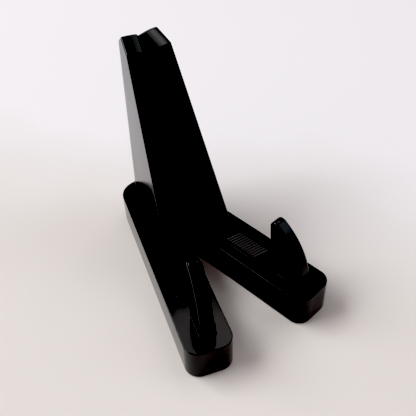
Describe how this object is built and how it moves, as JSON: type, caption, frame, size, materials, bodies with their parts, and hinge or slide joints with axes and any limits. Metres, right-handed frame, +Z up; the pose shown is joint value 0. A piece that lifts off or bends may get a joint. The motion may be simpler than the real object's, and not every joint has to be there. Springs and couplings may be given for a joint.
{
  "type": "folding album stand",
  "caption": "Folding tabletop easel for a photo album: mirrored plastic halves with a foot bar, leaning upright and front hook, opened to a V about an upright hinge pin.",
  "frame": {"origin": "centre of the stand's footprint on the table, feet open", "axes": "+Z up, -Y towards the front where the hooks are, +X to the right seen from the front"},
  "size_m": [0.0474, 0.075, 0.0699],
  "materials": {
    "black_plastic": "moulded gloss black",
    "black_steel": "black oxide"
  },
  "bodies": {
    "left": {"left_half": "black_plastic", "hinge_pin": "black_steel"},
    "right": {"right_half": "black_plastic"}
  },
  "joints": [
    {"name": "fold", "type": "hinge", "parent": "left", "child": "right", "pos_m": [0, 0.00965, 0], "axis": [0, 0, 1], "range_deg": [-25.6, 0]}
  ]
}
